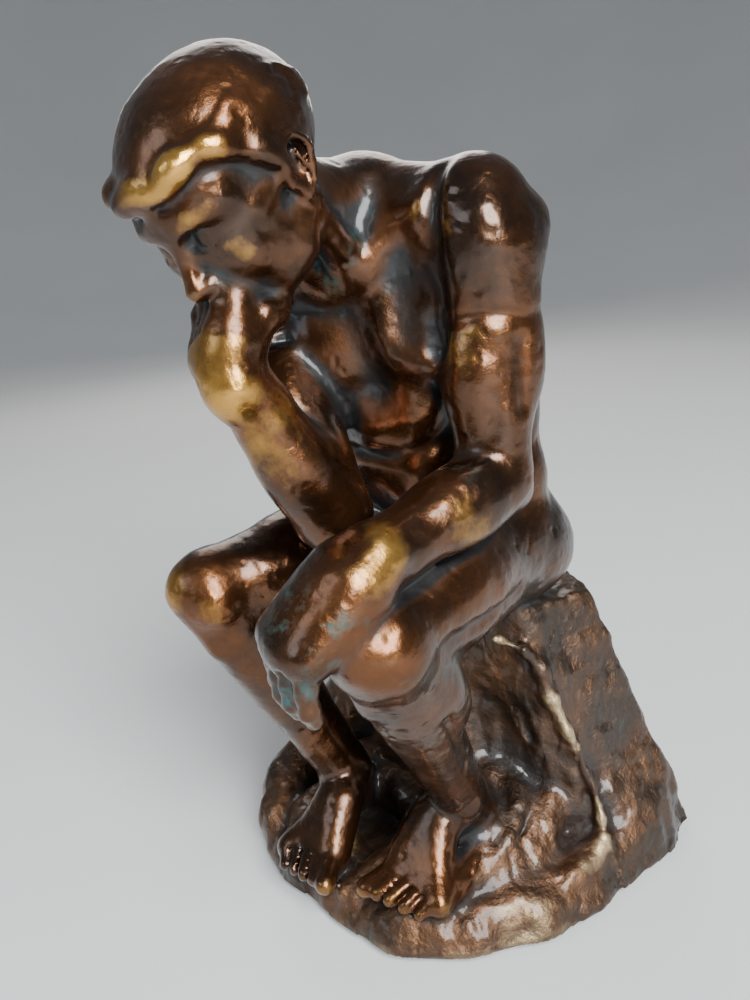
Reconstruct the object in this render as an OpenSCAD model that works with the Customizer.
// Seated bronze figure on a rock, cast in sections and pinned together.
// +Z is up, the figure faces -Y and its own left is +X. Millimetres.
// The origin is under the middle of the whole piece, on the surface it stands on.

/* [Figure] */
// Height from the surface it stands on to the top of the head
figure_h = 127; // [115:4:163]
// How far the head is bowed forward, in degrees
head_bow = 35; // [29:1:40]
// How far the head is turned to the figure's left, in degrees
head_turn = 8; // [0:1:14]
// How far the head leans towards the figure's right, in degrees
head_lean = 8; // [2:1:12]
// Segments round each modelled mass of the figure
mass_facets = 16; // [14:2:20]

/* [Base] */
// Height of the seat on the rock, above the surface
seat_h = 47; // [45:0.5:49]
// Height of the ground that the feet stand on
ground_h = 8; // [7.5:0.5:9]
// Wall left round the hollow inside the rock
rock_wall = 3.5; // [3:0.5:5]

/* [Felt pad] */
// Thickness of the felt
felt_t = 1.2; // [0.8:0.1:2]
// How far the felt stays inside the rim of the base
felt_inset = 1.6; // [1:0.2:4]

/* [Dowels and pins] */
// Diameter of the neck dowel
neck_dowel_d = 4.5; // [3:0.5:5]
// Diameter of each shoulder dowel
shoulder_dowel_d = 3.6; // [2.4:0.2:4.2]
// Diameter of each wrist dowel
wrist_dowel_d = 2; // [1.6:0.2:2.6]
// Diameter of each hip dowel
hip_dowel_d = 5; // [4:0.5:6]
// Diameter of each foot dowel
foot_dowel_d = 3; // [2:0.5:3.5]
// Diameter of the pins at the chin, the elbow and the resting hand
contact_pin_d = 1.6; // [1.2:0.2:2]
// Diameter of the locking pins through the dowels
lock_pin_d = 1.2; // [1:0.1:1.4]
// Clearance round a dowel or a pin in its socket, on the radius
socket_gap = 0.06; // [0.04:0.01:0.1]

/* [Seat stud] */
// Thread diameter of the stud that holds the figure on the rock
stud_d = 4; // [3:0.5:5]
// Washer diameter
washer_d = 10; // [9:0.5:12]
// Washer thickness
washer_t = 1; // [0.8:0.1:1.4]
// Nut width across flats
nut_af = 7; // [6:0.5:8]
// Nut thickness
nut_t = 3.2; // [2.4:0.2:4]

/* [Hidden] */

design_h = 127;                 // the height at which the places below were drawn
u = figure_h / design_h;
far = 400;                      // longer than anything here
eps = 0.01;

// ---- places on the figure: joints of the body, each [x, y, z] ----
neck_base = u * [3, -5, 108];
head_mid = u * [5, -26.6, 110.5];
left_shoulder = u * [22.5, -1, 104];
left_elbow = u * [24, -4.6, 71];
left_wrist = u * [23, -29, 65.5];
left_knuckles = u * [21, -37, 57.5];
right_shoulder = u * [-12.5, -13, 97];
right_elbow = u * [9, -20.5, 69];
right_wrist = u * [7, -32, 90];
right_knuckles = u * [4, -29.5, 98];
left_hip = u * [13, 6, 57];
left_knee = u * [23, -30.5, 57.5];
left_ankle = u * [14.5, -6, 19];
left_toe = u * [8.5, -22, 9.5];
right_hip = u * [-2.5, 11, 57];
right_knee = u * [-12, -28, 56];
right_ankle = u * [-7, -11, 17.5];
right_toe = u * [2, -25, 8.5];
seat_mid = u * [5, 14, 0];

function unit(v) = v / norm(v);
function between(a, b, t) = a + (b - a) * t;

// ---- where the castings are sawn apart: a point on the plane and the way outwards ----
neck_way = unit(head_mid - neck_base);
neck_cut = neck_base + neck_way * 7 * u;
left_arm_way = unit(left_elbow - left_shoulder);
left_arm_cut = left_shoulder + left_arm_way * 10 * u;
right_arm_way = unit(right_elbow - right_shoulder);
right_arm_cut = right_shoulder + right_arm_way * 9.5 * u;
left_hand_way = unit(left_knuckles - left_wrist);
left_hand_cut = left_wrist + left_hand_way * 0.8 * u;
right_hand_way = unit(right_knuckles - right_wrist);
right_hand_cut = right_wrist + right_hand_way * 0.8 * u;
left_leg_way = unit(left_knee - left_hip);
left_leg_cut = left_hip + left_leg_way * 11 * u;
right_leg_way = unit(right_knee - right_hip);
right_leg_cut = right_hip + right_leg_way * 11 * u;

// ---- building blocks ----

// Turns +Z to the given way
module aim(way) {
    rotate([0, acos(way[2]), atan2(way[1], way[0])]) children();
}

// Everything beyond the plane through p that faces the given way
module beyond(p, way) {
    translate(p) aim(way) translate([-far / 2, -far / 2, 0]) cube(far);
}

// One round mass, b = [x, y, z, radius]
module mass(b) {
    translate([b[0], b[1], b[2]]) sphere(r = b[3], $fn = mass_facets);
}

// A run of masses, each blended into the next
module limb(run) {
    for (i = [0 : len(run) - 2]) hull() {
        mass(run[i]);
        mass(run[i + 1]);
    }
}

// A place and a radius at the drawing size, for a mass of the figure
function at(p, r) = [p[0], p[1], p[2], r * u];

// A straight round bar, centred on p
module bar(p, way, d, l) {
    translate(p) aim(way) cylinder(h = l, d = d, center = true, $fn = 32);
}

// The hole that the bar goes in: its flats clear the bar all round
module socket(p, way, d, l) {
    n = 24;
    hole_d = (d + 2 * socket_gap) / cos(180 / n);
    translate(p) aim(way) cylinder(h = l + 2 * socket_gap, d = hole_d, center = true, $fn = n);
}

// ---- masses of the body ----

module trunk_mass() {
    hull() {
        mass(u * [11.5, 9, 57, 11]);
        mass(u * [-2.5, 13.5, 57, 11.5]);
        mass(u * [6, 10, 66, 11.5]);
    }
    hull() {
        mass(u * [12, 8.5, 68, 9.5]);
        mass(u * [9, 2.5, 71, 9]);
        mass(u * [-1, 4, 71, 9.5]);
        mass(u * [0, 11.5, 68, 9.5]);
        mass(u * [13.5, 3, 84, 10]);
        mass(u * [-3, 4, 82, 10]);
    }
    hull() {
        mass(u * [13.5, 3, 84, 10]);
        mass(u * [-3, 4, 82, 10]);
        mass(u * [15, -3, 97, 8.5]);
        mass(u * [-5.5, -8.5, 93, 8.5]);
        mass(u * [5, 0.5, 98, 9]);
    }
    hull() {
        mass(u * [5, 0.5, 98, 9]);
        mass(u * [15, -3, 98, 8]);
        mass(at(left_shoulder + u * [-3, 0, 0.5], 6.6));
        mass(at(neck_base, 6.5));
    }
    hull() {
        mass(u * [5, 0.5, 98, 9]);
        mass(u * [-5.5, -8.5, 94, 8]);
        mass(at(right_shoulder + u * [3, 1, 1], 6.6));
        mass(at(neck_base, 6.5));
    }
    // chest
    hull() {
        mass(u * [14, -7, 94, 6.5]);
        mass(u * [7, -8, 92, 6]);
    }
    hull() {
        mass(u * [-4, -13, 91, 6]);
        mass(u * [4, -9.5, 91, 6]);
    }
}

module neck_mass() {
    limb([at(neck_base + u * [0, 2, -2], 8), at(neck_base + neck_way * 12 * u, 7.2)]);
}

module left_upper_arm_mass() {
    limb([at(left_shoulder, 7.6), at(left_shoulder + left_arm_way * 8 * u, 7.4),
          at(between(left_shoulder, left_elbow, 0.5), 6), at(left_elbow, 5)]);
}

module right_upper_arm_mass() {
    limb([at(right_shoulder, 7.6), at(right_shoulder + right_arm_way * 8 * u, 7.2),
          at(between(right_shoulder, right_elbow, 0.5), 6.2), at(right_elbow, 5.6)]);
}

module left_forearm_mass() {
    limb([at(left_elbow, 5), at(between(left_elbow, left_wrist, 0.35), 5.4),
          at(left_wrist, 4.3), at(left_wrist + left_hand_way * 3 * u, 4.3)]);
}

module right_forearm_mass() {
    limb([at(right_elbow, 5.6), at(between(right_elbow, right_wrist, 0.35), 5.7),
          at(right_wrist, 3.9), at(right_wrist + right_hand_way * 3 * u, 3.9)]);
    limb([at(right_elbow, 5.6), at(right_elbow + u * [3, 0.5, -3.5], 4.6)]);
}

module left_hand_mass() {
    hull() {
        mass(at(left_wrist, 4.2));
        mass(at(left_knuckles + u * [4.2, 1.2, 1.4], 2.8));
        mass(at(left_knuckles + u * [-4.2, 1.4, -0.4], 2.8));
    }
    // fingers, hanging over the knee
    for (i = [0 : 3]) {
        root = left_knuckles + u * [4 - 2.6 * i, 0.6 + 0.2 * i, 0.8 - 0.4 * i];
        limb([at(root, 2.1), at(root + u * [-0.3, -1.8, -3.6], 1.9), at(root + u * [-0.8, 0.8, -6.6], 1.6)]);
    }
    // thumb
    limb([at(left_wrist + u * [-3.5, -3, -1], 2.2), at(left_wrist + u * [-6.2, -5.4, -4], 1.9)]);
}

module right_hand_mass() {
    hull() {
        mass(at(right_wrist, 3.8));
        mass(at(right_knuckles + u * [3.2, -1.5, 0.4], 2.8));
        mass(at(right_knuckles + u * [-4, -1.5, 1], 2.8));
    }
    // fingers, folded back under the chin
    for (i = [0 : 3]) {
        root = right_knuckles + u * [3.4 - 2.4 * i, -1.8, 0.8 + 0.1 * i];
        limb([at(root, 1.9), at(root + u * [-0.4, 5.5, 1], 1.8), at(root + u * [-0.2, 6.5, -3.4], 1.6)]);
    }
    limb([at(right_wrist + u * [3, 1.5, 2], 2.2), at(right_knuckles + u * [4.6, 3.4, -2], 1.8)]);
}

module left_thigh_mass() {
    limb([at(left_hip, 10.8), at(between(left_hip, left_knee, 0.45), 9.6), at(left_knee, 6.9)]);
}

module right_thigh_mass() {
    limb([at(right_hip, 11), at(between(right_hip, right_knee, 0.45), 9.8), at(right_knee, 7.2)]);
}

module left_shin_mass() {
    limb([at(left_knee, 6.8), at(between(left_knee, left_ankle, 0.35) + u * [0, 2, 0], 6.6),
          at(between(left_knee, left_ankle, 0.72), 4.8), at(left_ankle, 4.2)]);
}

module right_shin_mass() {
    limb([at(right_knee, 7), at(between(right_knee, right_ankle, 0.35) + u * [0, 2, 0], 6.7),
          at(between(right_knee, right_ankle, 0.72), 4.8), at(right_ankle, 4.2)]);
}

// A foot from the ankle to the toes. little is +1 where the small toes lie towards +X
module foot_mass(ankle, toe, little) {
    way = unit([toe[0] - ankle[0], toe[1] - ankle[1], 0]);
    across = little * [-way[1], way[0], 0];
    heel = [ankle[0], ankle[1], ground_h * u + 3.4 * u] - way * 3.5 * u;
    ball = toe - way * 5 * u + u * [0, 0, 1];
    outer = ball + across * 6.2 * u - way * 1.5 * u;
    hull() {
        mass(at(ankle, 4.2));
        mass(at(heel, 3.8));
        mass(at(ball, 3));
    }
    hull() {
        mass(at(ball, 3));
        mass(at(outer, 2.5));
        mass(at(heel, 3.8));
    }
    for (i = [0 : 4]) {
        root = ball + (outer - ball) * i / 4;
        limb([at(root, 2.2 - 0.1 * i), at(root + (way * (4.8 - 0.5 * i) - [0, 0, 0.7]) * u, 2 - 0.2 * i)]);
    }
}

module left_leg_mass() {
    intersection() {
        left_thigh_mass();
        beyond(left_leg_cut, left_leg_way);
    }
    left_shin_mass();
    foot_mass(left_ankle, left_toe, 1);
}

module right_leg_mass() {
    intersection() {
        right_thigh_mass();
        beyond(right_leg_cut, right_leg_way);
    }
    right_shin_mass();
    foot_mass(right_ankle, right_toe, -1);
}

// Trunk with the stumps that the head and the limbs are joined to
module torso_mass() {
    trunk_mass();
    difference() {
        neck_mass();
        beyond(neck_cut, neck_way);
    }
    difference() {
        left_upper_arm_mass();
        beyond(left_arm_cut, left_arm_way);
    }
    difference() {
        right_upper_arm_mass();
        beyond(right_arm_cut, right_arm_way);
    }
    difference() {
        left_thigh_mass();
        beyond(left_leg_cut, left_leg_way);
    }
    difference() {
        right_thigh_mass();
        beyond(right_leg_cut, right_leg_way);
    }
}

// The head upright in its own frame, face towards -Y, midway between the ears at the origin
module upright_head() {
    hull() {
        mass(u * [0, -1.8, 4.8, 9.4]);
        mass(u * [0, 4.4, 4.6, 9.8]);
    }
    hull() {
        mass(u * [0, -4, 1, 8]);
        mass(u * [0, -7, -8.5, 4.2]);
        mass(u * [5, -2, -6, 3.6]);
        mass(u * [-5, -2, -6, 3.6]);
    }
    limb([u * [-4.5, -10, 2.8, 1.9], u * [4.5, -10, 2.8, 1.9]]);            // brow
    limb([u * [0, -11.2, 1.5, 1.1], u * [0, -13.4, -4.4, 1.5]]);            // nose
    limb([u * [-2, -10.6, -7.8, 1.1], u * [2, -10.6, -7.8, 1.1]]);          // mouth
    for (s = [-1, 1]) {
        limb([u * [s * 4, -8.6, -1.6, 1.8], u * [s * 6, -5, -0.8, 1.8]]);   // cheekbone
        limb([u * [s * 8.4, 1, 1.6, 1.5], u * [s * 7.8, 0.4, -4, 1.2]]);    // ear
        limb([u * [s * 8.4, -1.6, 2.6, 1.6], u * [s * 4.4, -8.6, 5.6, 1.8]]); // edge of the hair
    }
}

module head_mass() {
    translate(head_mid) rotate(head_turn) rotate([head_bow, 0, 0]) rotate([0, -head_lean, 0]) upright_head();
    intersection() {
        limb([at(neck_base + neck_way * 5 * u, 7.6), at(head_mid + u * [0, 4, -1], 7.4)]);
        beyond(neck_cut, neck_way);
    }
}

// ---- the rock ----

// Distance from the middle of the base to its rim every 30 degrees, from +X through +Y
rim = u * [34, 38.6, 34, 30.5, 32.4, 35, 34.5, 35.5, 35.5, 33.8, 36, 34.2];
rim_mid = u * [0, 9.5, 0];
function rim_r(a) = let (i = floor(a / 30), t = a / 30 - i, s = (1 - cos(180 * t)) / 2)
    rim[i % 12] * (1 - s) + rim[(i + 1) % 12] * s;

module base_outline(inset) {
    polygon([for (a = [0 : 7.5 : 352.5])
        [rim_mid[0], rim_mid[1]] + (rim_r(a) - inset) * [cos(a), sin(a)]]);
}

// One stone of the rock
module stone(b) {
    translate([b[0], b[1], b[2]]) sphere(r = b[3], $fn = 10);
}

seat_z = seat_h * u;
ground_z = ground_h * u;
ceiling_z = seat_z - 9 * u;      // roof of the hollow, where the washer bears

module rock_mass() {
    hull() {
        translate([0, 0, felt_t]) linear_extrude(3.2 * u) base_outline(0);
        translate([0, 0, felt_t]) linear_extrude(ground_z - felt_t - 1.2 * u) base_outline(2.4 * u);
    }
    // seat block
    hull() {
        stone(u * [15, 7, seat_h - 4, 4]);
        stone(u * [18, 19, seat_h - 4, 4]);
        stone(u * [-12, 12, seat_h - 5, 4]);
        stone(u * [-10, 26, seat_h - 6, 4]);
        stone(u * [7, 27, seat_h - 4, 4]);
        stone(u * [24, 14, 7, 4]);
        stone(u * [26, 29, 7, 4]);
        stone(u * [-23, 15, 7, 4]);
        stone(u * [-19, 31, 7, 4]);
        stone(u * [4, 36, 7, 4]);
    }
    // sharp ridge at the figure's left, down to the rim
    limb(u * [[15, 3, 41, 2.6], [20, 8, 34, 2.6], [24, 12, 18, 2.8], [27, 13, 8, 3], [26, 0, 5.4, 3], [18, -13, 5.4, 3]]);
    // shoulder of rock at the figure's right
    limb(u * [[-14, 12, 36, 6], [-21, 8, 20, 6], [-26, -2, 9, 5], [-22, -13, 7, 4]]);
    // rolls of ground against the feet
    limb(u * [[17, -1, 9, 3.5], [18, -10, 8, 3], [12, -17.5, 7, 3]]);
    limb(u * [[-12, -4, 10, 5], [2, 4, 12, 7], [16, 6, 10, 5]]);
    limb(u * [[-14, -16, 7, 3], [-7, -20, 6.4, 3], [3, -19, 6.4, 3], [9, -19, 6.8, 3]]);
}

// The hollow that the foundry core leaves, open underneath
module rock_core() {
    hull() {
        translate([0, 0, ceiling_z - eps]) linear_extrude(eps)
            translate([-9 * u, 12 * u]) square([22 * u, 12 * u]);
        translate([0, 0, -1]) linear_extrude(eps)
            translate([(-19 + rock_wall) * u, 14 * u]) square([36 * u, 19 * u]);
    }
}

module rock_base() {
    color("#4a3528") difference() {
        intersection() {
            rock_mass();
            beyond([0, 0, felt_t], [0, 0, 1]);
        }
        rock_core();
        torso_mass();
        left_leg_mass();
        right_leg_mass();
        seat_stud_bar(2 * socket_gap + 0.3, far);
        left_foot_socket();
        right_foot_socket();
    }
}

// ---- castings ----

// The core left inside the trunk, and the two core pin holes to the back
core_low = u * [5.5, 10, 68];
core_high = u * [5, 2, 88];
core_way = unit([0, 1, 0.25]);

module trunk_core() {
    hull() {
        translate(core_low) sphere(r = 5.8 * u, $fn = 16);
        translate(core_high) sphere(r = 5.8 * u, $fn = 16);
    }
    for (p = [core_low, core_high]) socket(p + core_way * 10 * u, core_way, 2.6, 20 * u);
}

module torso() {
    color("#7a4a24") difference() {
        torso_mass();
        trunk_core();
        neck_socket();
        left_shoulder_socket();
        right_shoulder_socket();
        left_hip_socket();
        right_hip_socket();
        lock_pins(2 * socket_gap);
        seat_stud_bar(2 * socket_gap, 0);
    }
}

module head() {
    color("#8a5a2a") difference() {
        head_mass();
        torso_mass();
        neck_socket();
        chin_socket();
    }
}

module left_arm() {
    color("#8a5a2a") difference() {
        union() {
            intersection() {
                left_upper_arm_mass();
                beyond(left_arm_cut, left_arm_way);
            }
            difference() {
                left_forearm_mass();
                beyond(left_hand_cut, left_hand_way);
            }
        }
        torso_mass();
        left_leg_mass();
        left_shoulder_socket();
        left_wrist_socket();
    }
}

module right_arm() {
    color("#8a5a2a") difference() {
        union() {
            intersection() {
                right_upper_arm_mass();
                beyond(right_arm_cut, right_arm_way);
            }
            difference() {
                right_forearm_mass();
                beyond(right_hand_cut, right_hand_way);
            }
        }
        torso_mass();
        left_leg_mass();
        left_forearm_mass();
        right_shoulder_socket();
        right_wrist_socket();
        elbow_socket();
    }
}

module left_hand() {
    color("#8a5a2a") difference() {
        intersection() {
            left_hand_mass();
            beyond(left_hand_cut, left_hand_way);
        }
        left_leg_mass();
        left_wrist_socket();
        hand_socket();
    }
}

module right_hand() {
    color("#8a5a2a") difference() {
        intersection() {
            right_hand_mass();
            beyond(right_hand_cut, right_hand_way);
        }
        torso_mass();
        head_mass();
        right_wrist_socket();
        chin_socket();
    }
}

module left_leg() {
    color("#7a4a24") difference() {
        left_leg_mass();
        torso_mass();
        left_hip_socket();
        left_foot_socket();
        elbow_socket();
        hand_socket();
    }
}

module right_leg() {
    color("#7a4a24") difference() {
        right_leg_mass();
        torso_mass();
        right_hip_socket();
        right_foot_socket();
    }
}

// ---- dowels across the joints ----
neck_dowel_l = 14 * u;
shoulder_dowel_l = 12 * u;
wrist_dowel_l = 6 * u;
hip_dowel_l = 16 * u;
foot_dowel_l = 9 * u;
left_foot_mid = u * [12, -9, 9.2];
right_foot_mid = u * [-4.6, -13.5, 8.4];

module neck_socket() { socket(neck_cut, neck_way, neck_dowel_d, neck_dowel_l); }
module left_shoulder_socket() { socket(left_arm_cut, left_arm_way, shoulder_dowel_d, shoulder_dowel_l); }
module right_shoulder_socket() { socket(right_arm_cut, right_arm_way, shoulder_dowel_d, shoulder_dowel_l); }
module left_wrist_socket() { socket(left_hand_cut, left_hand_way, wrist_dowel_d, wrist_dowel_l); }
module right_wrist_socket() { socket(right_hand_cut, right_hand_way, wrist_dowel_d, wrist_dowel_l); }
module left_hip_socket() { socket(left_leg_cut, left_leg_way, hip_dowel_d, hip_dowel_l); }
module right_hip_socket() { socket(right_leg_cut, right_leg_way, hip_dowel_d, hip_dowel_l); }
module left_foot_socket() { socket(left_foot_mid, [0, 0, 1], foot_dowel_d, foot_dowel_l); }
module right_foot_socket() { socket(right_foot_mid, [0, 0, 1], foot_dowel_d, foot_dowel_l); }

// A dowel, drilled across where its locking pin goes through
module drilled_dowel(p, way, d, l) {
    color("#b08d57") difference() {
        bar(p, way, d, l);
        lock_pins(2 * socket_gap);
    }
}

module plain_dowel(p, way, d, l) {
    color("#b08d57") bar(p, way, d, l);
}

module neck_dowel() { drilled_dowel(neck_cut, neck_way, neck_dowel_d, neck_dowel_l); }
module left_shoulder_dowel() {
    drilled_dowel(left_arm_cut, left_arm_way, shoulder_dowel_d, shoulder_dowel_l);
}
module right_shoulder_dowel() {
    drilled_dowel(right_arm_cut, right_arm_way, shoulder_dowel_d, shoulder_dowel_l);
}
module left_wrist_dowel() { plain_dowel(left_hand_cut, left_hand_way, wrist_dowel_d, wrist_dowel_l); }
module right_wrist_dowel() { plain_dowel(right_hand_cut, right_hand_way, wrist_dowel_d, wrist_dowel_l); }
module left_hip_dowel() { drilled_dowel(left_leg_cut, left_leg_way, hip_dowel_d, hip_dowel_l); }
module right_hip_dowel() { drilled_dowel(right_leg_cut, right_leg_way, hip_dowel_d, hip_dowel_l); }
module left_foot_dowel() { plain_dowel(left_foot_mid, [0, 0, 1], foot_dowel_d, foot_dowel_l); }
module right_foot_dowel() { plain_dowel(right_foot_mid, [0, 0, 1], foot_dowel_d, foot_dowel_l); }

// ---- locking pins, one through the trunk side of each drilled dowel ----
// Each row is the cut, the way of the dowel, how far back from the cut, and the pin's length
locks = [
    [neck_cut, neck_way, 3.5, 11],
    [left_arm_cut, left_arm_way, 3, 11],
    [right_arm_cut, right_arm_way, 3, 11],
    [left_leg_cut, left_leg_way, 4, 16],
    [right_leg_cut, right_leg_way, 4, 16]
];

module lock_pins(extra) {
    for (k = locks) bar(k[0] - k[1] * k[2] * u, unit(cross(k[1], [1, 0.2, 0.1])), lock_pin_d + extra,
                        k[3] * u + extra);
}

module joint_pins() { color("#b08d57") lock_pins(0); }

// ---- pins where one casting rests on another ----
contact_pin_l = 6 * u;
chin_mid = right_knuckles + u * [-1.4, -1, 1.2];
elbow_way = unit(between(left_hip, left_knee, 0.72) - right_elbow);
elbow_mid = right_elbow + elbow_way * 7.4 * u;
hand_mid = between(left_wrist, left_knee, 0.38) + u * [0, -3.4, 0];
hand_way = unit(left_knee - left_wrist);

module chin_socket() { socket(chin_mid, [0, 0, 1], contact_pin_d, contact_pin_l); }
module elbow_socket() { socket(elbow_mid, elbow_way, contact_pin_d, contact_pin_l); }
module hand_socket() { socket(hand_mid, hand_way, contact_pin_d, contact_pin_l); }

module chin_pin() { plain_dowel(chin_mid, [0, 0, 1], contact_pin_d, contact_pin_l); }
module elbow_pin() { plain_dowel(elbow_mid, elbow_way, contact_pin_d, contact_pin_l); }
module hand_pin() { plain_dowel(hand_mid, hand_way, contact_pin_d, contact_pin_l); }

// ---- stud, washer and nut that hold the trunk on the rock ----
stud_low = ceiling_z - washer_t - nut_t - 2.5;
stud_high = seat_z + 11 * u;

module seat_stud_bar(extra, below) {
    translate([seat_mid[0], seat_mid[1], stud_low - below])
        cylinder(h = stud_high - stud_low + below + extra, d = stud_d + extra, $fn = 32);
}

module seat_stud() { color("#b5a070") seat_stud_bar(0, 0); }

module seat_washer() {
    color("#b5a070") translate([seat_mid[0], seat_mid[1], ceiling_z - washer_t]) difference() {
        cylinder(h = washer_t, d = washer_d, $fn = 48);
        translate([0, 0, -1]) cylinder(h = washer_t + 2, d = stud_d + 0.3, $fn = 32);
    }
}

module seat_nut() {
    color("#b5a070") translate([seat_mid[0], seat_mid[1], ceiling_z - washer_t - nut_t]) difference() {
        cylinder(h = nut_t, d = nut_af / cos(30), $fn = 6);
        translate([0, 0, -1]) cylinder(h = nut_t + 2, d = stud_d + 0.1, $fn = 32);
    }
}

// ---- plugs in the core pin holes ----
module core_plugs() {
    color("#7a4a24") for (p = [core_low, core_high])
        bar(p + core_way * 8.4 * u, core_way, 2.6, 3.4 * u);
}

module felt_pad() {
    color("#2f4a38") linear_extrude(felt_t) base_outline(felt_inset);
}

rock_base();
torso();
head();
right_arm();
right_hand();
left_arm();
left_hand();
right_leg();
left_leg();
neck_dowel();
right_shoulder_dowel();
left_shoulder_dowel();
right_wrist_dowel();
left_wrist_dowel();
right_hip_dowel();
left_hip_dowel();
right_foot_dowel();
left_foot_dowel();
joint_pins();
chin_pin();
elbow_pin();
hand_pin();
seat_stud();
seat_washer();
seat_nut();
core_plugs();
felt_pad();
